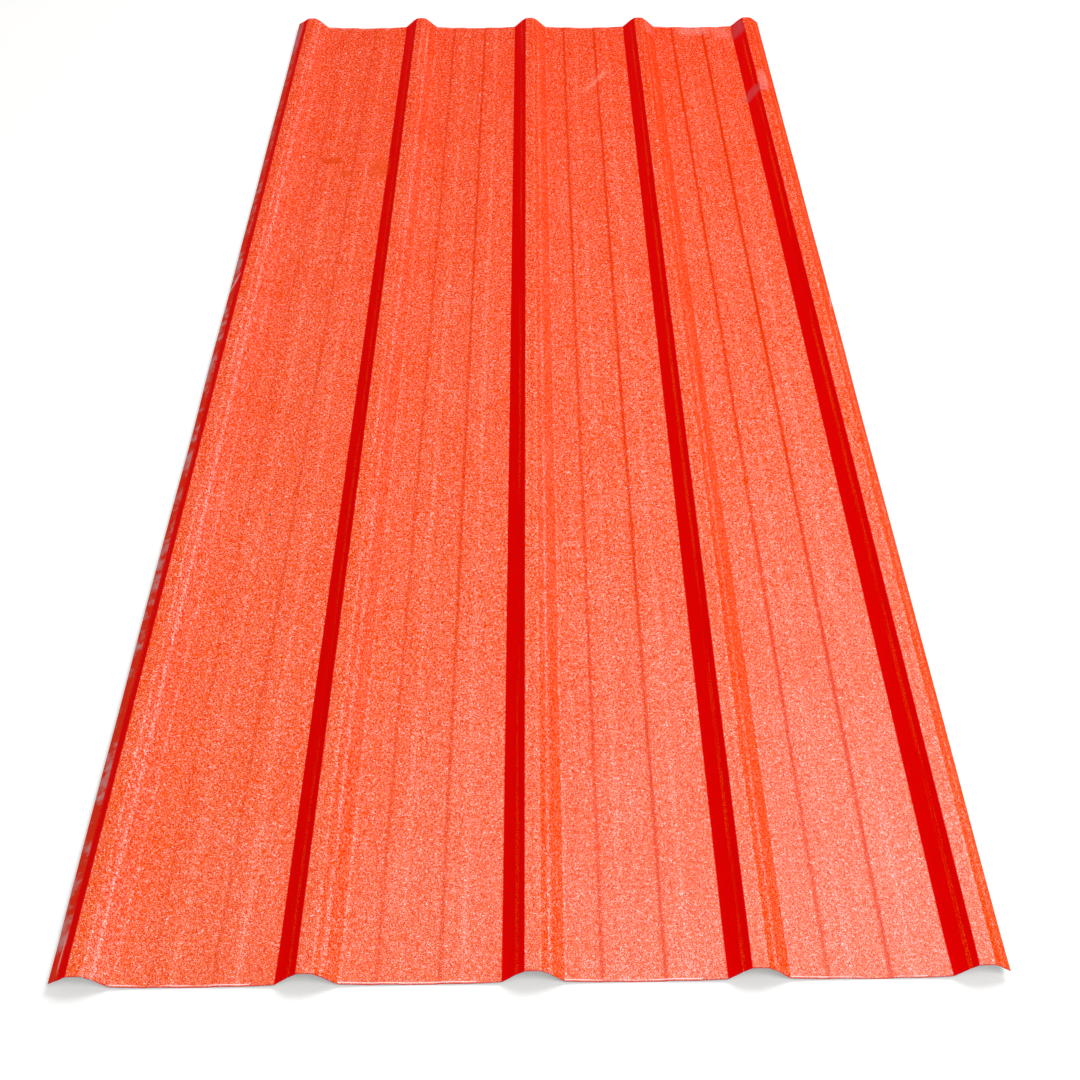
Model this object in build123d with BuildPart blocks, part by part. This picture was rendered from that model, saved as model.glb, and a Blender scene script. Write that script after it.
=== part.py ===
# Box-rib roofing sheet, roll-formed from one strip of pre-painted steel.
# Millimetres. X runs across the ribs, Y along them, Z up from the floor that the sheet lies on.
# The origin is on the floor, half way along the sheet and half way between its two side edges.
from build123d import *
import os

# Strip and sheet
sheet_length = 2500.0
sheet_thickness = 0.5

# Main ribs: flat crowns on flanks that are creased a little below the crown
rib_count = 5
rib_pitch = 250.0
rib_height = 25.0
crown_width = 18.5
flank_run = 25.5
crease_run = 9.75
crease_drop = 8.0

# Low stiffening ribs, a pair in each pan
stiffener_spacing = 70.0
stiffener_top_width = 21.0
stiffener_flank_run = 5.5
stiffener_height = 1.2

# Side lips: each outer rib ends part of the way down its outer flank
left_lip_run = 22.0
left_lip_drop = 15.0
right_lip_run = 17.5
right_lip_drop = 14.0

# Inside bend radii left by the forming rolls, on the underside
foot_radius = 3.0
crease_radius = 6.0
crown_radius = 2.5
stiffener_radius = 8.0

# Places that follow from the sizes above
half_crown = crown_width / 2
half_stiffener = stiffener_top_width / 2
lip_imbalance = (left_lip_run - right_lip_run) / 2
first_rib_x = lip_imbalance - rib_pitch * (rib_count - 1) / 2


def left_flank(rib_x):
    """Corners of a flank that climbs to a crown, with the bend radius at each one."""
    return [
        ((rib_x - half_crown - flank_run, 0), foot_radius),
        ((rib_x - half_crown - crease_run, rib_height - crease_drop), crease_radius),
        ((rib_x - half_crown, rib_height), crown_radius),
    ]


def right_flank(rib_x):
    """Corners of a flank that falls from a crown, with the bend radius at each one."""
    return [
        ((rib_x + half_crown, rib_height), crown_radius),
        ((rib_x + half_crown + crease_run, rib_height - crease_drop), crease_radius),
        ((rib_x + half_crown + flank_run, 0), foot_radius),
    ]


def stiffener(centre_x):
    """Corners of one low flat-topped rib pressed up out of a pan."""
    foot = half_stiffener + stiffener_flank_run
    return [
        ((centre_x - foot, 0), stiffener_radius),
        ((centre_x - half_stiffener, stiffener_height), stiffener_radius),
        ((centre_x + half_stiffener, stiffener_height), stiffener_radius),
        ((centre_x + foot, 0), stiffener_radius),
    ]


# Underside of the sheet from its left edge to its right one, as corners to be rounded
rib_xs = [first_rib_x + rib_pitch * i for i in range(rib_count)]
left_tip = (rib_xs[0] - half_crown - left_lip_run, rib_height - left_lip_drop)
right_tip = (rib_xs[-1] + half_crown + right_lip_run, rib_height - right_lip_drop)
corners = left_flank(rib_xs[0])[1:] + right_flank(rib_xs[0])
for rib_x in rib_xs[1:]:
    pan_x = rib_x - rib_pitch / 2
    corners += stiffener(pan_x - stiffener_spacing / 2)
    corners += stiffener(pan_x + stiffener_spacing / 2)
    corners += left_flank(rib_x)
    corners += right_flank(rib_x)
corners = corners[:-1]
points = [left_tip] + [point for point, radius in corners] + [right_tip]
radii = [radius for point, radius in corners]

# Roofing sheet: the strip's section, drawn across the ribs and run along them
with BuildPart() as roofing_sheet:
    with BuildSketch(Plane.XZ) as section:
        with BuildLine() as strip:
            FilletPolyline(*points, radius=radii)
            offset(amount=sheet_thickness, side=Side.LEFT)
        make_face()
    extrude(amount=sheet_length / 2, both=True)

roofing_sheet.part.label = "roofing_sheet"

os.makedirs("parts", exist_ok=True)
export_step(roofing_sheet.part, "parts/roofing_sheet.step")
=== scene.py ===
import math
import bpy
import bmesh
from mathutils import Matrix, Vector, noise


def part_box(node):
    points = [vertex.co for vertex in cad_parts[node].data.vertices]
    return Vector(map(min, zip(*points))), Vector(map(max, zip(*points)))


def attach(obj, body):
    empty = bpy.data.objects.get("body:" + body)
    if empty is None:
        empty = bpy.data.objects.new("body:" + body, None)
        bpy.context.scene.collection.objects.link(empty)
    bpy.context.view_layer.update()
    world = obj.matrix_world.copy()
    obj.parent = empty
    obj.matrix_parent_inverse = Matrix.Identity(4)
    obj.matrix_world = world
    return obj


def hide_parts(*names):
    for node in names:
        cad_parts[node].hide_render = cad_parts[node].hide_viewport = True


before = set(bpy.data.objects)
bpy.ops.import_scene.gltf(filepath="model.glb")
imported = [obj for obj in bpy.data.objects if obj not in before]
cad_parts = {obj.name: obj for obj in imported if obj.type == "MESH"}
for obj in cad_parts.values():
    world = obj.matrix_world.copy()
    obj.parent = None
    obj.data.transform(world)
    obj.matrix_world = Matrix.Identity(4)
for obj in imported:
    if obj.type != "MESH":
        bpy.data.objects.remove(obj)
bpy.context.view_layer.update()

# A box-rib roofing sheet of painted steel that lies on a floor, seen from its near end.
# Metres. X runs across the ribs, Y along them, Z up.

sheetLow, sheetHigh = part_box("roofing_sheet")


def deselectAll():
    if bpy.context.mode != "OBJECT":
        bpy.ops.object.mode_set(mode="OBJECT")
    bpy.ops.object.select_all(action="DESELECT")


def addNode(tree, kind, settings=None, links=None):
    # settings are the node's own values or its sockets' values, links are the nodes or sockets that feed it
    node = tree.nodes.new(kind)
    for name, value in (settings or {}).items():
        if isinstance(name, str) and hasattr(node, name):
            setattr(node, name, value)
        else:
            node.inputs[name].default_value = value
    for name, source in (links or {}).items():
        tree.links.new(getattr(source, "outputs", [source])[0], node.inputs[name])
    return node


def linearColor(hexText):
    # sRGB hex to the linear colour that a shader socket holds
    values = []
    for i in (0, 2, 4):
        v = int(hexText[i:i + 2], 16) / 255
        values.append(v / 12.92 if v <= 0.04045 else ((v + 0.055) / 1.055) ** 2.4)
    return (*values, 1.0)


# Camera

cameraPlace = {
    "x": 0.0122, "y": -2.1741, "z": 1.4933,  # metres from the middle of the sheet
    "yaw": 0.02212, "pitch": 0.73423, "roll": 0.00638,  # radians: right of +Y, below level, tilt
    "focalPixels": 1528.5, "imagePixels": 1080, "sensorMillimetres": 36.0,
    "centrePixelX": 563.6,  # where the lens axis meets the picture, because the picture is a crop
}


def makeCamera():
    p = cameraPlace
    level = Vector((math.cos(p["yaw"]), -math.sin(p["yaw"]), 0))
    flatForward = Vector((math.sin(p["yaw"]), math.cos(p["yaw"]), 0))
    forward = flatForward * math.cos(p["pitch"]) - Vector((0, 0, math.sin(p["pitch"])))
    upward = level.cross(forward)
    right = level * math.cos(p["roll"]) + upward * math.sin(p["roll"])
    up = upward * math.cos(p["roll"]) - level * math.sin(p["roll"])
    data = bpy.data.cameras.new("photoCamera")
    data.sensor_width = p["sensorMillimetres"]
    data.lens = p["focalPixels"] / p["imagePixels"] * p["sensorMillimetres"]
    data.shift_x = (p["imagePixels"] / 2 - p["centrePixelX"]) / p["imagePixels"]
    camera = bpy.data.objects.new("photoCamera", data)
    bpy.context.scene.collection.objects.link(camera)
    axes = Matrix((right, up, -forward)).transposed()
    camera.matrix_world = Matrix.Translation((p["x"], p["y"], p["z"])) @ axes.to_4x4()
    bpy.context.scene.camera = camera


makeCamera()
print("camera made")

# Floor and light

studio = {
    "floorSize": 40.0, "floorColor": "F2F1EF",
    # the floor's own glow between two distances in metres, which keeps it pale past the lamps' reach
    "nearLift": 0.22, "farLift": 0.66, "liftFrom": 2.0, "liftTo": 6.5,
    "ambient": 0.40,  # the world's light on the sheet, where 1 is white
    "lamps": (  # name, place, size, watts: the softbox stands ahead, where the near half mirrors it
        ("softbox", (2.6, 2.2, 6.0), 3.0, 235.0),
        ("frontPanel", (1.6, -3.0, 4.5), 2.0, 85.0),
    ),
}


def makeStudio():
    deselectAll()
    bpy.ops.mesh.primitive_plane_add(size=studio["floorSize"], location=(0, 0, 0))
    floor = bpy.context.active_object
    floor.name = "floor"
    material = bpy.data.materials.new("paleFloor")
    material.use_nodes = True
    tree = material.node_tree
    tree.nodes.clear()
    diffuse = addNode(tree, "ShaderNodeBsdfDiffuse", {"Color": linearColor(studio["floorColor"])})
    path = addNode(tree, "ShaderNodeLightPath")
    seen = addNode(tree, "ShaderNodeMath", {"operation": "MAXIMUM"},
                   {0: path.outputs["Is Camera Ray"], 1: path.outputs["Is Glossy Ray"]})
    away = addNode(tree, "ShaderNodeVectorMath", {"operation": "LENGTH"},
                   {0: addNode(tree, "ShaderNodeTexCoord").outputs["Object"]})
    lift = addNode(tree, "ShaderNodeMapRange",
                   {"From Min": studio["liftFrom"], "From Max": studio["liftTo"],
                    "To Min": studio["nearLift"], "To Max": studio["farLift"]},
                   {"Value": away.outputs["Value"]})
    lift = addNode(tree, "ShaderNodeMath", {"operation": "MULTIPLY"}, {0: lift, 1: seen})
    glow = addNode(tree, "ShaderNodeEmission", {}, {"Strength": lift})
    both = addNode(tree, "ShaderNodeAddShader", {}, {0: diffuse, 1: glow})
    addNode(tree, "ShaderNodeOutputMaterial", {}, {"Surface": both})
    floor.data.materials.append(material)

    world = bpy.data.worlds.new("studioWorld")
    bpy.context.scene.world = world
    world.use_nodes = True
    tree = world.node_tree
    tree.nodes.clear()
    path = addNode(tree, "ShaderNodeLightPath")
    seen = addNode(tree, "ShaderNodeMath", {"operation": "MAXIMUM"},
                   {0: path.outputs["Is Camera Ray"], 1: path.outputs["Is Glossy Ray"]})
    seen = addNode(tree, "ShaderNodeMath", {"operation": "MAXIMUM"},
                   {0: seen, 1: path.outputs["Is Transmission Ray"]})
    strength = addNode(tree, "ShaderNodeMapRange", {"To Min": studio["ambient"], "To Max": 1.0},
                       {"Value": seen})
    glow = addNode(tree, "ShaderNodeBackground", {"Color": (1, 1, 1, 1)}, {"Strength": strength})
    addNode(tree, "ShaderNodeOutputWorld", {}, {"Surface": glow})

    for name, place, size, watts in studio["lamps"]:
        data = bpy.data.lights.new(name, "AREA")
        data.size = size
        data.energy = watts
        lamp = bpy.data.objects.new(name, data)
        bpy.context.scene.collection.objects.link(lamp)
        lamp.location = place
        lamp.rotation_euler = (-Vector(place)).to_track_quat("-Z", "Y").to_euler()
        lamp.visible_camera = False


makeStudio()
bpy.context.scene.view_settings.view_transform = "Standard"
print("floor and light made")

# The sheet's shape: an edge is pulled across the section one flat at a time, its bends are rounded,
# the skin is cut into cells along its length, relaxed as a real sheet is, and given its thickness

sheetShape = {
    "ribCount": 5, "ribPitch": 0.250, "ribHeight": 0.025, "crownWidth": 0.0185,
    "flankRun": 0.0255, "creaseRun": 0.00975, "creaseDrop": 0.008,
    "stiffenerSpacing": 0.070, "stiffenerTop": 0.021, "stiffenerFlank": 0.0055, "stiffenerHeight": 0.0012,
    "leftLipRun": 0.022, "leftLipDrop": 0.015, "rightLipRun": 0.0175, "rightLipDrop": 0.014,
    "thickness": 0.0005,
    "bendRadius": {"foot": 0.003, "crease": 0.006, "crown": 0.0025, "stiffener": 0.008},
    "bendSegments": 3, "flatCell": 0.013, "lengthCell": 0.020,  # a flat up to one cell wide stays whole
    "smoothDegrees": 30.0,
}


def sheetCorners():
    # corners of the underside from the left edge to the right one, each with the kind of bend it has
    s = sheetShape
    halfCrown = s["crownWidth"] / 2
    halfTop = s["stiffenerTop"] / 2
    foot = halfTop + s["stiffenerFlank"]
    firstRib = (s["leftLipRun"] - s["rightLipRun"]) / 2 - s["ribPitch"] * (s["ribCount"] - 1) / 2
    ribXs = [firstRib + s["ribPitch"] * i for i in range(s["ribCount"])]
    corners = []
    for i, x in enumerate(ribXs):
        if i > 0:
            panX = x - s["ribPitch"] / 2
            for side in (-0.5, 0.5):
                middle = panX + side * s["stiffenerSpacing"]
                for dx, z in ((-foot, 0), (-halfTop, s["stiffenerHeight"]),
                              (halfTop, s["stiffenerHeight"]), (foot, 0)):
                    corners.append((middle + dx, z, "stiffener"))
            corners.append((x - halfCrown - s["flankRun"], 0, "foot"))
        creaseZ = s["ribHeight"] - s["creaseDrop"]
        corners.append((x - halfCrown - s["creaseRun"], creaseZ, "crease"))
        corners.append((x - halfCrown, s["ribHeight"], "crown"))
        corners.append((x + halfCrown, s["ribHeight"], "crown"))
        corners.append((x + halfCrown + s["creaseRun"], creaseZ, "crease"))
        if i < s["ribCount"] - 1:
            corners.append((x + halfCrown + s["flankRun"], 0, "foot"))
    leftTip = (ribXs[0] - halfCrown - s["leftLipRun"], s["ribHeight"] - s["leftLipDrop"], "tip")
    rightTip = (ribXs[-1] + halfCrown + s["rightLipRun"], s["ribHeight"] - s["rightLipDrop"], "tip")
    return [leftTip] + corners + [rightTip], ribXs


def selectEdges(mesh, wanted):
    # selects the edges for which wanted(one end, other end) is true, and nothing else
    b = bmesh.from_edit_mesh(mesh)
    for part in (b.verts, b.edges, b.faces):
        for item in part:
            item.select = False
    for edge in b.edges:
        if wanted(edge.verts[0].co, edge.verts[1].co):
            edge.select = True
            edge.verts[0].select = edge.verts[1].select = True
    bmesh.update_edit_mesh(mesh)


def turnAt(corners, i):
    # how far the section turns at corner i, in radians
    before = Vector((corners[i][0] - corners[i - 1][0], corners[i][1] - corners[i - 1][1]))
    after = Vector((corners[i + 1][0] - corners[i][0], corners[i + 1][1] - corners[i][1]))
    return before.angle(after)


def makeSkin(corners):
    s = sheetShape
    length = sheetHigh.y - sheetLow.y
    deselectAll()
    bpy.ops.mesh.primitive_plane_add(size=length, location=(0, 0, 0))
    sheet = bpy.context.active_object
    sheet.name = "paintedSheet"
    sheet.data.name = "paintedSheet"
    bpy.ops.object.mode_set(mode="EDIT")
    bpy.ops.mesh.select_mode(type="EDGE")
    selectEdges(sheet.data, lambda a, b: a.x > 0 and b.x > 0)
    bpy.ops.mesh.select_mode(type="VERT")
    bpy.ops.mesh.delete(type="VERT")
    bpy.ops.mesh.select_all(action="SELECT")
    bpy.ops.transform.translate(value=(corners[0][0] + length / 2, 0, corners[0][1]))
    bpy.ops.mesh.select_mode(type="EDGE")
    for last, corner in zip(corners, corners[1:]):
        step = (corner[0] - last[0], 0, corner[1] - last[1])
        bpy.ops.mesh.extrude_edges_move(TRANSFORM_OT_translate={"value": step})

    samePlace = 1e-5
    for i in range(1, len(corners) - 1):
        x, z, kind = corners[i]
        selectEdges(sheet.data, lambda a, b: max(abs(a.x - x), abs(b.x - x)) < samePlace)
        width = s["bendRadius"][kind] * math.tan(turnAt(corners, i) / 2)
        bpy.ops.mesh.bevel(offset_type="OFFSET", offset=width, segments=s["bendSegments"], affect="EDGES")
    for cuts in (1, 2, 3):
        low, high = cuts * s["flatCell"], (cuts + 1) * s["flatCell"]
        selectEdges(sheet.data, lambda a, b: abs(a.y - b.y) < samePlace and low < (a - b).length <= high)
        bpy.ops.mesh.subdivide(number_cuts=cuts)
    selectEdges(sheet.data, lambda a, b: abs(a.y - b.y) > length / 2)
    bpy.ops.mesh.subdivide(number_cuts=round(length / s["lengthCell"]) - 1)
    bpy.ops.mesh.select_all(action="SELECT")
    bpy.ops.mesh.normals_make_consistent(inside=False)
    bpy.ops.object.mode_set(mode="OBJECT")
    if sheet.data.polygons[0].normal.z < 0:
        sheet.data.flip_normals()
    return sheet


# How a real sheet leaves the straight lines of its section, in metres
relaxing = {
    "endReach": 0.050,  # the bends open over this much of each cut end
    "endSoftness": 0.0040,  # and are rounded there over this much to each side
    "footLift": 0.0028, "liftReach": 0.055,  # the feet of the ribs come off the floor there
    "panBulge": 0.0009, "bulgeLength": 0.42,  # oil canning of the pans, always upwards
    "bulgeShare": 0.35, "panBlend": 0.020,
    "crownSag": 0.0003,
    "lipRipple": 0.0012, "rippleLength": 0.22, "rippleShare": 0.5,  # the free side lips wander inwards
    # each rib reads the noise at its X times the first value, in the layer of the second one
    "bulgeNoise": (9.0, 3.7), "sagNoise": (7.0, 8.1), "rippleNoise": (5.0, 1.3),
    "bulgeSlant": 2.0,
    "dents": ((-0.396, 0.620, 0.020, 0.0009), (-0.299, 0.592, 0.016, 0.0005)),  # x, y, radius, depth
    "dentWidth": 0.6,  # of a dent, as a share of its length
}


def smoothStep(value, low, high):
    t = min(1.0, max(0.0, (value - low) / (high - low)))
    return t * t * (3 - 2 * t)


def sectionHeight(corners, x):
    for last, corner in zip(corners, corners[1:]):
        if x <= corner[0] or corner is corners[-1]:
            return last[1] + (corner[1] - last[1]) * (x - last[0]) / (corner[0] - last[0])


def relaxSkin(sheet, corners, ribXs):
    r, s = relaxing, sheetShape
    halfRib = s["crownWidth"] / 2 + s["flankRun"]
    end = sheetHigh.y
    taps = [-1, -0.75, -0.5, -0.25, 0, 0.25, 0.5, 0.75, 1]  # the section's height is averaged over these
    opened = {}  # how far the bends open at an X, in microns, because a whole row of vertices shares it
    for v in sheet.data.vertices:
        x, y, z = v.co
        endShare = smoothStep(abs(y), end - r["endReach"], end)
        ribX = min(ribXs, key=lambda ribX: abs(x - ribX))
        fromRib = abs(x - ribX)
        if endShare > 0:
            key = round(x * 1e6)
            if key not in opened:
                heights = [sectionHeight(corners, x + tap * r["endSoftness"]) for tap in taps]
                opened[key] = sum(heights) / len(taps) - sectionHeight(corners, x)
            lift = smoothStep(fromRib, halfRib + r["liftReach"], halfRib) * (1 - z / s["ribHeight"])
            z += endShare * (opened[key] + lift * r["footLift"])
        onPan = smoothStep(fromRib, halfRib, halfRib + r["panBlend"])
        spread, layer = r["bulgeNoise"]
        swell = noise.noise((ribX * spread + x * r["bulgeSlant"], y / r["bulgeLength"], layer))
        z += onPan * r["panBulge"] * max(0.0, swell + r["bulgeShare"])
        if fromRib < s["crownWidth"] / 2:
            spread, layer = r["sagNoise"]
            z -= r["crownSag"] * max(0.0, noise.noise((ribX * spread, y / r["bulgeLength"], layer)))
        for dentX, dentY, radius, depth in r["dents"]:
            away = math.hypot(x - dentX, (y - dentY) * r["dentWidth"]) / radius
            z = max(0.0, z - depth * max(0.0, 1 - away * away))
        pastLeft = ribXs[0] - s["crownWidth"] / 2 - x
        pastRight = x - ribXs[-1] - s["crownWidth"] / 2
        outside = max(pastLeft, pastRight) / s["leftLipRun"]
        if outside > 0:
            spread, layer = r["rippleNoise"]
            wander = r["rippleShare"] + noise.noise((ribX * spread, y / r["rippleLength"], layer))
            x -= math.copysign(r["lipRipple"] * outside * outside * max(0.0, wander), x)
        v.co = (x, y, z)


corners, ribXs = sheetCorners()
sheet = makeSkin(corners)
relaxSkin(sheet, corners, ribXs)
print("skin made,", len(sheet.data.polygons), "faces")

# The paint: a vermilion polyester coil coating, rolled on and cured to a fine wrinkled finish. Its colours
# hold
# painted light: the flanks that face left are painted deep red as painted shade, and the other faces carry a
# tone with painted highlights on the wrinkle tops, a painted sheen and painted highlight and shade lines
# along the bends.
# A tone is the green of a face's colour from 0 to 255: red is full nearly everywhere, so the green tells the
# faces apart. A face is found by its place across a rib.

paintLook = {
    "shadedFlankRed": "F40000", "shadeRed": "E60000", "glintOrange": "FF5A08",
    # on the flanks painted deep red as shade, in millimetres from the rib's middle: where the deeper painted
    # shade starts and is full, how much the wrinkles move that, and the crease that gets the painted glints,
    # with its half width
    "shadeStart": -19.0, "shadeFull": -17.5, "shadeGrain": 2.5, "creasePlace": -18.0, "creaseReach": 2.0,
    # the wrinkle tops that get painted glints there, how much lower they may be at the right, and the streak
    # values between which the glints come through
    "glintStart": 0.66, "glintFull": 0.71, "glintLean": 0.07, "glintRunStart": 0.44, "glintRunFull": 0.56,
    "toneColors": ((50, "F03000"), (80, "FF5000"), (100, "FF6408"), (112, "FF7032"), (125, "FF7D54"),
                   (165, "FFA5A0"), (255, "FFFFFF")),
    "paintedSheenColor": "FFDADA", "paintedSheenStart": 97.0, "paintedSheenFull": 120.0, "paintedSheen": 0.12,  # a painted sheen: a pale veil on the palest faces
    "roughness": (0.62, 0.74),  # between the wrinkles and on their tops
    "specularLevel": 0.012, "specularTint": "FFD8CC",  # the gloss is kept low, as the sheen is painted into the colour
    "flankMiddle": 22.0, "flankReach": 12.4, "flankBlend": 1.1,  # millimetres from the rib's middle
    # tone at the middle of the sheet, and its change per metre of X and Y, for the level and then the steep
    # faces: the change is painted light, on the level faces a sheen that grows towards the near right
    "levelTone": 85.0, "levelSlope": (9.0, -19.0), "levelTwist": -9.5,
    "steepTone": 72.0, "steepSlope": (-24.0, -14.0),
    # the wrinkles are really about 0.3 mm apart, and are drawn coarser because they would not show, the
    # more so towards the back end (a share per metre of Y)
    "fineMillimetres": 1.25, "coarseMillimetres": 2.8, "coarseStretch": 1.6, "coarseShare": 0.36,
    "coarsening": (-0.19, -0.095),  # across and along
    "driftMillimetres": 6.25, "driftReach": 0.003,  # the reach is in metres
    "wrinkleDepthMillimetres": 0.12,
    # how much the wrinkles change the tone, its gain per metre of Y, and its factor on the steep faces
    "grain": 4.0, "grainSlope": 1.05, "steepGrain": 1.4,
    "speckStart": 0.63, "speckFull": 0.78, "speckTone": 85.0, "steepSpeck": 35.0,  # painted highlights on the highest tops
    "streakMillimetres": 7.0, "streakStretch": 45.0, "streakTone": 21.0,
    "cloudsPerMetre": 6.0, "cloudTone": 16.0,
    # painted highlights and painted shade along the bends and the stiffeners' sides: millimetres from the
    # rib's middle, half width, and three shares, of the pale lines that all the ribs have, of those that
    # fade to the right, and of the dark ones that fade to the left. The tone of each kind at the left and
    # the right follows
    "paintedLightLines": ((0.0, 6.0, (0, 0, 0.25)), (8.9, 2.0, (0.10, 0.8, 0)), (18.6, 3.4, (0.85, 0, 0)),
                  (36.0, 2.2, (0.05, 0.65, 0)), (76.8, 3.7, (0, 0, 0.9)), (102.5, 6.0, (0.30, 0, 0)),
                  (146.8, 3.7, (0, 0, 1.1)), (172.6, 5.5, (0.42, 0, 0))),
    "leftTones": (34.0, 32.0, -10.0), "rightTones": (30.0, 4.0, -62.0),
    "leftPlace": -0.45, "rightPlace": 0.40,  # the X of the left and of the right
    "lineFade": -0.16,  # the pale lines lose this share per metre of Y
    "lineBreak": (0.35, 0.65, 0.75, 1.25),  # two values of the streaks, and a line's strength at each
}

# Handling marks, and painted shade at the dents (the dentShade ones): middle x and y in millimetres, half
# length and half width, turn in degrees from X, colour, strength, and how much of it the wrinkles break up
marks = (
    ("smearFarRib", 480, 1214, 40, 16, 90, "B85A60", 0.66, 0.5),
    ("smearAcrossFlank", 479, 890, 28, 19, 52, "BC6468", 0.50, 0.5),
    ("smearAcrossCrown", 504, 925, 52, 12, 90, "FFB4AC", 0.42, 0.7),
    ("hazeFarPan", 378, 1228, 46, 24, 3, "FFB0A4", 0.42, 0.7),
    ("hazeFarFoot", 446, 1218, 22, 34, 0, "FFB0A4", 0.30, 0.7),
    ("hazeFarFlank", 274, 1215, 12, 34, 0, "FFC0B8", 0.25, 0.7),
    ("smearLeftLip", -524, 1165, 85, 7, 88, "C08A8E", 0.55, 0.6),
    ("scratchPan", 148, 980, 62, 9, 62, "FFB8A4", 0.30, 0.7),
    ("scratchLeftLip", -523, 145, 38, 1.8, 74, "E8C4C4", 0.80, 0.3),
    ("scratchLipEnd", -519.5, -1212, 30, 1.0, 90, "F0A898", 0.75, 0.3),
    ("scratchRightLip", 526, 80, 20, 1.2, 84, "F4D8D4", 0.70, 0.3),
    ("scratchCrown", -243, 1100, 150, 0.9, 90, "FFC8B8", 0.40, 0.6),
    ("speckDark", -385.5, -460, 2.2, 2.2, 0, "6A1208", 0.90, 0.0),
    ("speckPale", -454, 638, 3.0, 2.6, 0, "FFE8E2", 0.90, 0.0),
    ("dentShade", -396, 620, 25, 15, 10, "EA4406", 0.85, 0.2),
    ("dentShadeSmall", -362, 568, 15, 12, 0, "EE4A08", 0.70, 0.3),
    ("dentShadeFoot", -299, 592, 24, 40, 0, "EE4A08", 0.60, 0.3),
)
# how a mark is frayed: the wrinkles break its cover, which falls to nothing between inner and outer, and the
# patches move that edge in and out
markEdge = {"inner": 0.95, "outer": 1.75, "patchShare": 1.4, "grainStart": 0.40, "grainFull": 0.60}

# scuffs on the left lip
lipScuff = {
    "reachMillimetres": 12.2, "creaseMillimetres": 1.5,  # from its free edge, and they end over this much
    "patchMillimetres": 30.0,
    "brown": "D8341A", "brownStart": 0.22, "brownFull": 0.46,
    "grey": "C98A88", "greyStart": 0.48, "greyFull": 0.62,
    "farY": 0.85, "farGrey": 0.3, "nearY": 0.15, "nearGrey": 0.85,  # the grey thins out to the back
}

# the cut ends: a crimson line at the edge and a pale one behind it, both full within the same few tenths
# of a millimetre of their middle
cutEdge = {
    "crimson": "C00A34", "crimsonMillimetres": 1.5, "crimsonShare": 0.8,
    "paleLine": "FFE6E4", "paleLineMillimetres": 2.6, "paleLineHalfWidth": 0.9, "fullMillimetres": 0.3,
    "pieceMillimetres": 60.0, "pieceStart": 0.40, "pieceFull": 0.52,
}


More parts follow.
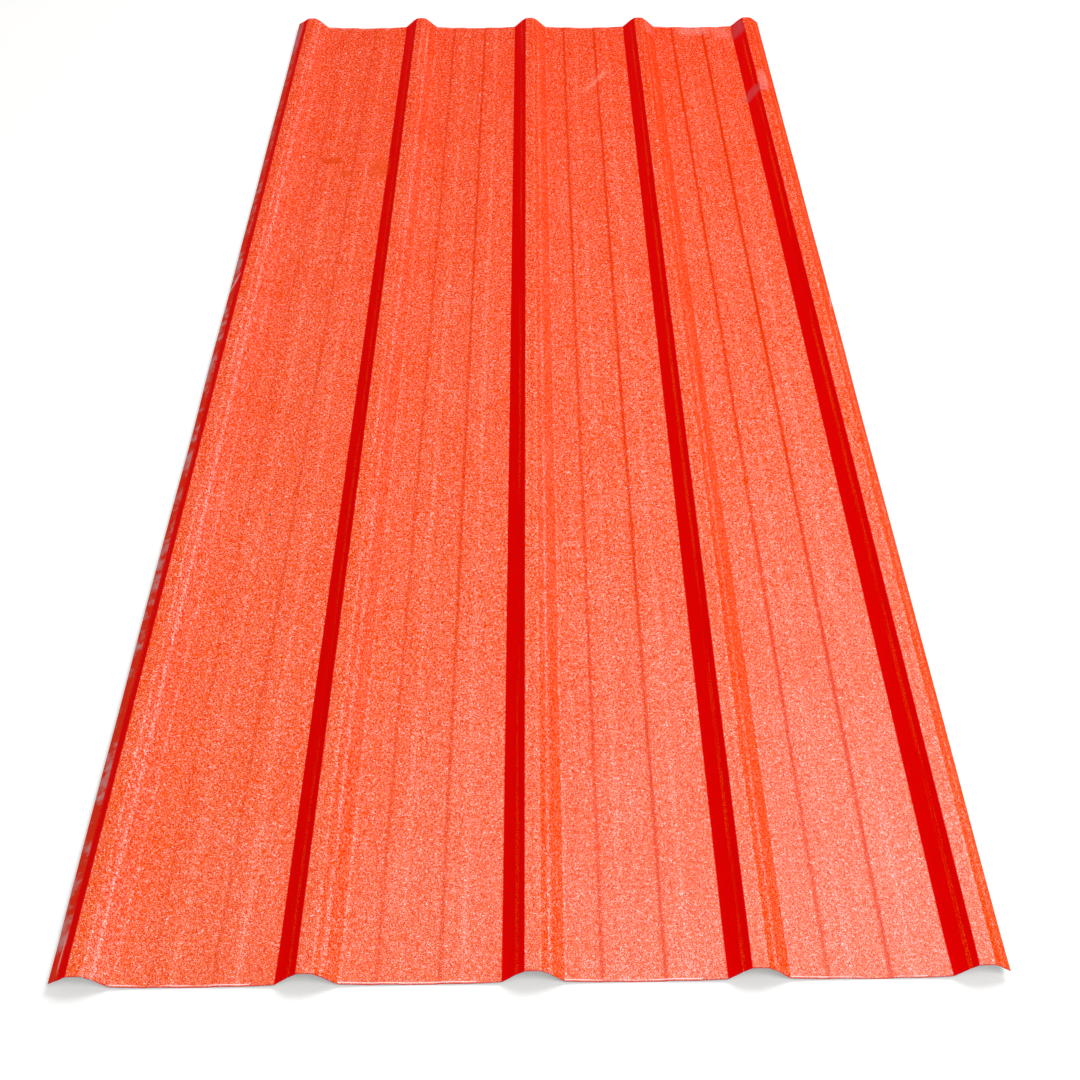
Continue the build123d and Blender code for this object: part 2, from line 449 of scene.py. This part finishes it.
def makePaint():
    p = paintLook
    material = bpy.data.materials.new("vermilionPolyester")
    material.use_nodes = True
    tree = material.node_tree
    shader = tree.nodes["Principled BSDF"]
    shader.inputs["Specular IOR Level"].default_value = p["specularLevel"]
    shader.inputs["Specular Tint"].default_value = linearColor(p["specularTint"])
    texture = addNode(tree, "ShaderNodeTexCoord")
    place = texture.outputs["Object"]
    apart = addNode(tree, "ShaderNodeSeparateXYZ", {}, {0: place})

    # wrinkles: fine and coarse noise with a slow drift in their place, so that no rows show
    sizes = []
    for share in p["coarsening"]:
        sizes.append(addNode(tree, "ShaderNodeMath", {"operation": "MULTIPLY_ADD", 1: share, 2: 1.0},
                             {0: apart.outputs["Y"]}))
    grown = addNode(tree, "ShaderNodeCombineXYZ", {2: 1.0}, {0: sizes[0], 1: sizes[1]})
    grown = addNode(tree, "ShaderNodeVectorMath", {"operation": "MULTIPLY"}, {0: place, 1: grown})
    drift = addNode(tree, "ShaderNodeTexNoise", {"Scale": 1000 / p["driftMillimetres"], "Detail": 0.0},
                    {"Vector": place})
    drifted = addNode(tree, "ShaderNodeVectorMath",
                      {"operation": "MULTIPLY_ADD", 1: (p["driftReach"], p["driftReach"], p["driftReach"])},
                      {0: drift.outputs["Color"], 2: grown})
    fine = addNode(tree, "ShaderNodeTexNoise", {"Scale": 1000 / p["fineMillimetres"], "Detail": 0.0},
                   {"Vector": drifted})
    longer = addNode(tree, "ShaderNodeMapping", {"Scale": (1, 1 / p["coarseStretch"], 1)},
                     {"Vector": drifted})
    coarse = addNode(tree, "ShaderNodeTexNoise", {"Scale": 1000 / p["coarseMillimetres"], "Detail": 0.0},
                     {"Vector": longer})
    wrinkle = addNode(tree, "ShaderNodeMix", {0: p["coarseShare"]}, {2: fine, 3: coarse})

    # streaks along the sheet, from the rollers and from water that ran down it
    stretched = addNode(tree, "ShaderNodeMapping", {"Scale": (1, 1 / p["streakStretch"], 1)},
                        {"Vector": place})
    streak = addNode(tree, "ShaderNodeTexNoise",
                     {"Scale": 1000 / p["streakMillimetres"], "Detail": 2.0, "Roughness": 0.6},
                     {"Vector": stretched})
    cloud = addNode(tree, "ShaderNodeTexNoise", {"Scale": p["cloudsPerMetre"], "Detail": 1.0},
                    {"Vector": place})

    # the place across a rib, in millimetres from the rib's middle. Each turn starts a little left of a rib
    # and ends short of the next one, so it holds a rib and the pan to its right
    pitch = sheetShape["ribPitch"]
    ahead = pitch / 4
    turns = addNode(tree, "ShaderNodeMath", {"operation": "SUBTRACT", 1: ribXs[0] - ahead}, {0: apart})
    turns = addNode(tree, "ShaderNodeMath", {"operation": "DIVIDE", 1: pitch}, {0: turns})
    turns = addNode(tree, "ShaderNodeMath", {"operation": "FRACT"}, {0: turns})
    across = addNode(tree, "ShaderNodeMath",
                     {"operation": "MULTIPLY_ADD", 1: pitch * 1000, 2: -ahead * 1000}, {0: turns})
    offFlank = []
    for middle in (-p["flankMiddle"], p["flankMiddle"]):
        away = addNode(tree, "ShaderNodeMath", {"operation": "SUBTRACT", 1: middle}, {0: across})
        away = addNode(tree, "ShaderNodeMath", {"operation": "ABSOLUTE"}, {0: away})
        offFlank.append(addNode(tree, "ShaderNodeMapRange",
                                {"From Min": p["flankReach"], "From Max": p["flankReach"] + p["flankBlend"]},
                                {"Value": away}))
    offShadedFlanks, level = offFlank  # 0 on the flanks that face left, and on those that face right

    # the tone: one slope of painted light over the level faces and one over the steep ones, then painted
    # highlight and shade lines, streaks and clouds
    tones = []
    for middle, slope in ((p["steepTone"], p["steepSlope"]), (p["levelTone"], p["levelSlope"])):
        sloped = addNode(tree, "ShaderNodeVectorMath", {"operation": "DOT_PRODUCT", 1: (*slope, 0)},
                         {0: place})
        tones.append(addNode(tree, "ShaderNodeMath", {"operation": "ADD", 1: middle},
                             {0: sloped.outputs["Value"]}))
    twist = addNode(tree, "ShaderNodeMath", {"operation": "MULTIPLY"}, {0: apart, 1: apart.outputs["Y"]})
    tones[1] = addNode(tree, "ShaderNodeMath", {"operation": "MULTIPLY_ADD", 1: p["levelTwist"]},
                       {0: twist, 2: tones[1]})
    tone = addNode(tree, "ShaderNodeMix", {}, {0: level, 2: tones[0], 3: tones[1]})
    # painted sheen: a pale veil over the palest faces
    paintedSheen = addNode(tree, "ShaderNodeMapRange",
                   {"From Min": p["paintedSheenStart"], "From Max": p["paintedSheenFull"], "To Max": p["paintedSheen"]},
                   {"Value": tone})

    # painted highlight and shade lines along the bends, the crease and the stiffener sides
    lines = addNode(tree, "ShaderNodeValToRGB", {}, {0: turns})
    stops = lines.color_ramp.elements
    stops[0].color = stops[1].color = (0, 0, 0, 1)
    for middle, halfWidth, shares in p["paintedLightLines"]:
        for offset, share in ((-halfWidth, 0), (0, 1), (halfWidth, 0)):
            stop = stops.new(((middle + offset) / 1000 + ahead) / pitch)
            stop.color = (shares[0] * share, shares[1] * share, shares[2] * share, 1)
    leftRight = addNode(tree, "ShaderNodeMapRange",
                        {"From Min": p["leftPlace"], "From Max": p["rightPlace"]}, {"Value": apart})
    kindTones = addNode(tree, "ShaderNodeMix",
                        {"data_type": "VECTOR", 4: p["leftTones"], 5: p["rightTones"]}, {0: leftRight})
    fade = addNode(tree, "ShaderNodeMath", {"operation": "MULTIPLY_ADD", 1: p["lineFade"], 2: 1.0},
                   {0: apart.outputs["Y"]})
    fade = addNode(tree, "ShaderNodeCombineXYZ", {2: 1.0}, {0: fade, 1: fade})
    lines = addNode(tree, "ShaderNodeVectorMath", {"operation": "MULTIPLY"}, {0: lines, 1: fade})
    lineTone = addNode(tree, "ShaderNodeVectorMath", {"operation": "DOT_PRODUCT"},
                       {0: lines, 1: kindTones.outputs[1]})
    thin, thick, least, most = p["lineBreak"]
    lineStrength = addNode(tree, "ShaderNodeMapRange",
                           {"From Min": thin, "From Max": thick, "To Min": least, "To Max": most},
                           {"Value": streak})
    tone = addNode(tree, "ShaderNodeMath", {"operation": "MULTIPLY_ADD"},
                   {0: lineTone.outputs["Value"], 1: lineStrength, 2: tone})
    for source, reach in ((streak, p["streakTone"]), (cloud, p["cloudTone"])):
        patchy = addNode(tree, "ShaderNodeMath", {"operation": "MULTIPLY_ADD", 1: reach, 2: -reach / 2},
                         {0: source})
        tone = addNode(tree, "ShaderNodeMath", {"operation": "ADD"}, {0: tone, 1: patchy})

    # grain: the wrinkles lift the tone at their tops and lower it between them, and the highest tops get
    # painted highlights
    gain = addNode(tree, "ShaderNodeMath", {"operation": "MULTIPLY_ADD", 1: p["grainSlope"], 2: p["grain"]},
                   {0: apart.outputs["Y"]})
    onSteep = addNode(tree, "ShaderNodeMapRange", {"To Min": p["steepGrain"], "To Max": 1.0},
                      {"Value": level})
    gain = addNode(tree, "ShaderNodeMath", {"operation": "MULTIPLY"}, {0: gain, 1: onSteep})
    centred = addNode(tree, "ShaderNodeMath", {"operation": "SUBTRACT", 1: 0.5}, {0: wrinkle})
    grain = addNode(tree, "ShaderNodeMath", {"operation": "MULTIPLY_ADD", 2: 1.0}, {0: centred, 1: gain})
    tone = addNode(tree, "ShaderNodeMath", {"operation": "MULTIPLY"}, {0: tone, 1: grain})
    # painted highlights on the highest wrinkle tops, weaker on the steep faces
    speckHighlight = addNode(tree, "ShaderNodeMapRange", {"To Min": p["steepSpeck"], "To Max": p["speckTone"]},
                    {"Value": level})
    specks = addNode(tree, "ShaderNodeMapRange", {"From Min": p["speckStart"], "From Max": p["speckFull"]},
                     {"Value": fine, "To Max": speckHighlight})
    tone = addNode(tree, "ShaderNodeMath", {"operation": "ADD"}, {0: tone, 1: specks})
    tone = addNode(tree, "ShaderNodeMath", {"operation": "DIVIDE", 1: 255.0, "use_clamp": True}, {0: tone})
    # the tone becomes the colour of the faces outside the painted shade, with its painted light
    litFaceColor = addNode(tree, "ShaderNodeValToRGB", {}, {0: tone})
    stops = litFaceColor.color_ramp.elements
    for toneStop, hexText in p["toneColors"][1:-1]:
        stops.new(toneStop / 255).color = linearColor(hexText)
    stops[0].position = p["toneColors"][0][0] / 255
    stops[0].color = linearColor(p["toneColors"][0][1])
    stops[len(stops) - 1].color = linearColor(p["toneColors"][-1][1])
    litFaceColor = addNode(tree, "ShaderNodeMix", {"data_type": "RGBA", 7: linearColor(p["paintedSheenColor"])},
                      {0: paintedSheen, 6: litFaceColor})

    # flanks that face left: deep red as painted shade, deeper painted shade above the crease, and painted
    # orange glints along the crease, more of them towards the right and in runs along the streaks
    upper = addNode(tree, "ShaderNodeMapRange", {"From Min": p["shadeStart"], "From Max": p["shadeFull"]},
                    {"Value": across})
    upper = addNode(tree, "ShaderNodeMath", {"operation": "MULTIPLY_ADD", 1: p["shadeGrain"]},
                    {0: centred, 2: upper})
    deep = addNode(tree, "ShaderNodeMix",
                   {"data_type": "RGBA", 6: linearColor(p["shadedFlankRed"]), 7: linearColor(p["shadeRed"])},
                   {0: upper})
    onCrease = addNode(tree, "ShaderNodeMath",
                       {"operation": "COMPARE", 1: p["creasePlace"], 2: p["creaseReach"]}, {0: across})
    glint = addNode(tree, "ShaderNodeMath", {"operation": "MULTIPLY_ADD", 1: p["glintLean"]},
                    {0: leftRight, 2: fine})
    glint = addNode(tree, "ShaderNodeMapRange", {"From Min": p["glintStart"], "From Max": p["glintFull"]},
                    {"Value": glint})
    # the streaks let the painted glints through in runs
    glintRuns = addNode(tree, "ShaderNodeMapRange", {"From Min": p["glintRunStart"], "From Max": p["glintRunFull"]},
                     {"Value": streak})
    for share in (onCrease, glintRuns):
        glint = addNode(tree, "ShaderNodeMath", {"operation": "MULTIPLY"}, {0: glint, 1: share})
    deep = addNode(tree, "ShaderNodeMix", {"data_type": "RGBA", 7: linearColor(p["glintOrange"])},
                   {0: glint, 6: deep.outputs[2]})
    # the flanks that face left take the painted shade, the other faces the tone with its painted light
    color = addNode(tree, "ShaderNodeMix", {"data_type": "RGBA"},
                    {0: offShadedFlanks, 6: deep.outputs[2], 7: litFaceColor.outputs[2]})

    # the left lip: dull brown below its crease, with grey scuffs in patches
    q = lipScuff
    crease = sheetLow.x + q["reachMillimetres"] / 1000
    onLip = addNode(tree, "ShaderNodeMapRange",
                    {"From Min": crease - q["creaseMillimetres"] / 1000, "From Max": crease,
                     "To Min": 1.0, "To Max": 0.0}, {"Value": apart})
    patches = addNode(tree, "ShaderNodeTexNoise",
                      {"Scale": 1000 / q["patchMillimetres"], "Detail": 4.0, "Roughness": 0.65},
                      {"Vector": place})
    mostGrey = addNode(tree, "ShaderNodeMapRange",
                       {"From Min": q["farY"], "From Max": q["nearY"],
                        "To Min": q["farGrey"], "To Max": q["nearGrey"]}, {"Value": apart.outputs["Y"]})
    for kind, links in (("brown", {}), ("grey", {"To Max": mostGrey})):
        worn = addNode(tree, "ShaderNodeMapRange",
                       {"From Min": q[kind + "Start"], "From Max": q[kind + "Full"]},
                       {"Value": patches, **links})
        worn = addNode(tree, "ShaderNodeMath", {"operation": "MULTIPLY"}, {0: worn, 1: onLip})
        color = addNode(tree, "ShaderNodeMix", {"data_type": "RGBA", 7: linearColor(q[kind])},
                        {0: worn, 6: color.outputs[2]})

    # marks: rounded patches, because squaring both ways before the length fills an ellipse's corners
    m = markEdge
    for name, x, y, halfLength, halfWidth, turn, hexText, strength, broken in marks:
        local = addNode(tree, "ShaderNodeMapping",
                        {"vector_type": "TEXTURE", "Location": (x / 1000, y / 1000, 0),
                         "Rotation": (0, 0, math.radians(turn)),
                         "Scale": (halfLength / 1000, halfWidth / 1000, 1)}, {"Vector": place})
        squared = addNode(tree, "ShaderNodeVectorMath", {"operation": "MULTIPLY"}, {0: local, 1: local})
        away = addNode(tree, "ShaderNodeVectorMath", {"operation": "LENGTH"}, {0: squared})
        ragged = addNode(tree, "ShaderNodeMath", {"operation": "MULTIPLY_ADD", 1: m["patchShare"]},
                         {0: patches, 2: away.outputs["Value"]})
        cover = addNode(tree, "ShaderNodeMapRange",
                        {"From Min": m["inner"], "From Max": m["outer"], "To Min": strength, "To Max": 0.0},
                        {"Value": ragged})
        onTops = addNode(tree, "ShaderNodeMapRange",
                         {"From Min": m["grainStart"], "From Max": m["grainFull"],
                          "To Min": 1 - broken, "To Max": 1.0}, {"Value": wrinkle})
        cover = addNode(tree, "ShaderNodeMath", {"operation": "MULTIPLY", "label": name},
                        {0: cover, 1: onTops})
        color = addNode(tree, "ShaderNodeMix", {"data_type": "RGBA", 7: linearColor(hexText)},
                        {0: cover, 6: color.outputs[2]})

    # the sheared ends: a crimson brink, and behind it on the pans a pale line in broken pieces
    c = cutEdge
    fromEnd = addNode(tree, "ShaderNodeMath", {"operation": "ABSOLUTE"}, {0: apart.outputs["Y"]})
    fromEnd = addNode(tree, "ShaderNodeMath",
                      {"operation": "MULTIPLY_ADD", 1: -1000.0, 2: sheetHigh.y * 1000}, {0: fromEnd})
    brink = addNode(tree, "ShaderNodeMapRange",
                    {"From Min": c["crimsonMillimetres"], "From Max": c["fullMillimetres"],
                     "To Max": c["crimsonShare"]}, {"Value": fromEnd})
    color = addNode(tree, "ShaderNodeMix", {"data_type": "RGBA", 7: linearColor(c["crimson"])},
                    {0: brink, 6: color.outputs[2]})
    fromPaleLine = addNode(tree, "ShaderNodeMath", {"operation": "SUBTRACT", 1: c["paleLineMillimetres"]},
                       {0: fromEnd})
    fromPaleLine = addNode(tree, "ShaderNodeMath", {"operation": "ABSOLUTE"}, {0: fromPaleLine})
    paleLine = addNode(tree, "ShaderNodeMapRange",
                   {"From Min": c["paleLineHalfWidth"], "From Max": c["fullMillimetres"]}, {"Value": fromPaleLine})
    linePieces = addNode(tree, "ShaderNodeTexNoise", {"Scale": 1000 / c["pieceMillimetres"], "Detail": 3.0},
                     {"Vector": place})
    linePieces = addNode(tree, "ShaderNodeMapRange", {"From Min": c["pieceStart"], "From Max": c["pieceFull"]},
                     {"Value": linePieces})
    onPan = addNode(tree, "ShaderNodeMath",
                    {"operation": "GREATER_THAN", 1: p["flankMiddle"] + p["flankReach"]}, {0: across})
    for share in (linePieces, onPan):
        paleLine = addNode(tree, "ShaderNodeMath", {"operation": "MULTIPLY"}, {0: paleLine, 1: share})
    color = addNode(tree, "ShaderNodeMix", {"data_type": "RGBA", 7: linearColor(c["paleLine"])},
                    {0: paleLine, 6: color.outputs[2]})
    tree.links.new(color.outputs[2], shader.inputs["Base Color"])

    roughness = addNode(tree, "ShaderNodeMapRange",
                        {"From Min": 0.3, "From Max": 0.7,  # nearly the whole range of the wrinkles
                         "To Min": p["roughness"][0], "To Max": p["roughness"][1]}, {"Value": wrinkle})
    tree.links.new(roughness.outputs[0], shader.inputs["Roughness"])
    bump = addNode(tree, "ShaderNodeBump",
                   {"Strength": 1.0, "Distance": p["wrinkleDepthMillimetres"] / 1000}, {"Height": wrinkle})
    tree.links.new(bump.outputs[0], shader.inputs["Normal"])
    return material


# The underside: a thin pale grey back coat on the zinc, rolled on, so that it is matt and faintly streaked
backLook = {
    "grey": "C6C5BF", "roughness": 0.50, "specularLevel": 0.35,
    "thin": "AEB1B2", "thinStart": 0.45, "thinFull": 0.70, "thinShare": 0.7, "thinRoughness": 0.15,
    "dusty": "B5A99A", "dustStart": 0.50, "dustFull": 0.72, "dustShare": 0.35, "dustPerMetre": 9.0,
    "streakMillimetres": 6.0, "streakStretch": 60.0,
}


def makeBackCoat():
    b = backLook
    material = bpy.data.materials.new("greyBackCoat")
    material.use_nodes = True
    tree = material.node_tree
    shader = tree.nodes["Principled BSDF"]
    shader.inputs["Specular IOR Level"].default_value = b["specularLevel"]
    place = addNode(tree, "ShaderNodeTexCoord").outputs["Object"]
    stretched = addNode(tree, "ShaderNodeMapping", {"Scale": (1, 1 / b["streakStretch"], 1)},
                        {"Vector": place})
    streak = addNode(tree, "ShaderNodeTexNoise",
                     {"Scale": 1000 / b["streakMillimetres"], "Detail": 3.0, "Roughness": 0.6},
                     {"Vector": stretched})
    thin = addNode(tree, "ShaderNodeMapRange",
                   {"From Min": b["thinStart"], "From Max": b["thinFull"], "To Max": b["thinShare"]},
                   {"Value": streak})
    color = addNode(tree, "ShaderNodeMix",
                    {"data_type": "RGBA", 6: linearColor(b["grey"]), 7: linearColor(b["thin"])}, {0: thin})
    cloud = addNode(tree, "ShaderNodeTexNoise", {"Scale": b["dustPerMetre"], "Detail": 4.0},
                    {"Vector": place})
    dust = addNode(tree, "ShaderNodeMapRange",
                   {"From Min": b["dustStart"], "From Max": b["dustFull"], "To Max": b["dustShare"]},
                   {"Value": cloud})
    color = addNode(tree, "ShaderNodeMix", {"data_type": "RGBA", 7: linearColor(b["dusty"])},
                    {0: dust, 6: color.outputs[2]})
    tree.links.new(color.outputs[2], shader.inputs["Base Color"])
    roughness = addNode(tree, "ShaderNodeMath",
                        {"operation": "MULTIPLY_ADD", 1: b["thinRoughness"], 2: b["roughness"]}, {0: thin})
    tree.links.new(roughness.outputs[0], shader.inputs["Roughness"])
    return material


# The sheared edge: zinc drawn over bright steel, with red paint dragged down over part of it
edgeLook = {"zinc": "A9ADB0", "steel": "8E8F92", "roughness": 0.42, "patchMillimetres": 14.0,
            "paint": "B00A2C", "paintStart": 0.42, "paintFull": 0.52}


def makeShearedEdge():
    e = edgeLook
    material = bpy.data.materials.new("shearedZincEdge")
    material.use_nodes = True
    tree = material.node_tree
    shader = tree.nodes["Principled BSDF"]
    shader.inputs["Roughness"].default_value = e["roughness"]
    place = addNode(tree, "ShaderNodeTexCoord").outputs["Object"]
    patch = addNode(tree, "ShaderNodeTexNoise", {"Scale": 1000 / e["patchMillimetres"], "Detail": 4.0},
                    {"Vector": place})
    color = addNode(tree, "ShaderNodeMix",
                    {"data_type": "RGBA", 6: linearColor(e["steel"]), 7: linearColor(e["zinc"])}, {0: patch})
    dragged = addNode(tree, "ShaderNodeMapRange", {"From Min": e["paintStart"], "From Max": e["paintFull"]},
                      {"Value": patch})
    color = addNode(tree, "ShaderNodeMix", {"data_type": "RGBA", 7: linearColor(e["paint"])},
                    {0: dragged, 6: color.outputs[2]})
    tree.links.new(color.outputs[2], shader.inputs["Base Color"])
    metal = addNode(tree, "ShaderNodeMath", {"operation": "SUBTRACT", 0: 1.0}, {1: dragged})
    tree.links.new(metal.outputs[0], shader.inputs["Metallic"])
    return material


# The skin gets its gauge: the paint is on the top, the back coat underneath and the sheared edge around it
sheet.data.materials.append(makePaint())
sheet.data.materials.append(makeBackCoat())
sheet.data.materials.append(makeShearedEdge())
print("finishes made")
gauge = sheet.modifiers.new("gauge", "SOLIDIFY")
gauge.thickness = sheetShape["thickness"]
gauge.offset = 1
gauge.use_even_offset = True
gauge.material_offset = 1
gauge.material_offset_rim = 2
deselectAll()
sheet.select_set(True)
bpy.context.view_layer.objects.active = sheet
bpy.ops.object.modifier_apply(modifier="gauge")
for v in sheet.data.vertices:  # the gauge leans a few microns past the cut ends where the skin is bowed
    v.co.y = min(sheetHigh.y, max(sheetLow.y, v.co.y))
    v.co.z = min(sheetHigh.z, max(sheetLow.z, v.co.z))
bpy.ops.object.shade_smooth_by_angle(angle=math.radians(sheetShape["smoothDegrees"]))
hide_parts("roofing_sheet")
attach(sheet, "root")
print("sheet finished")
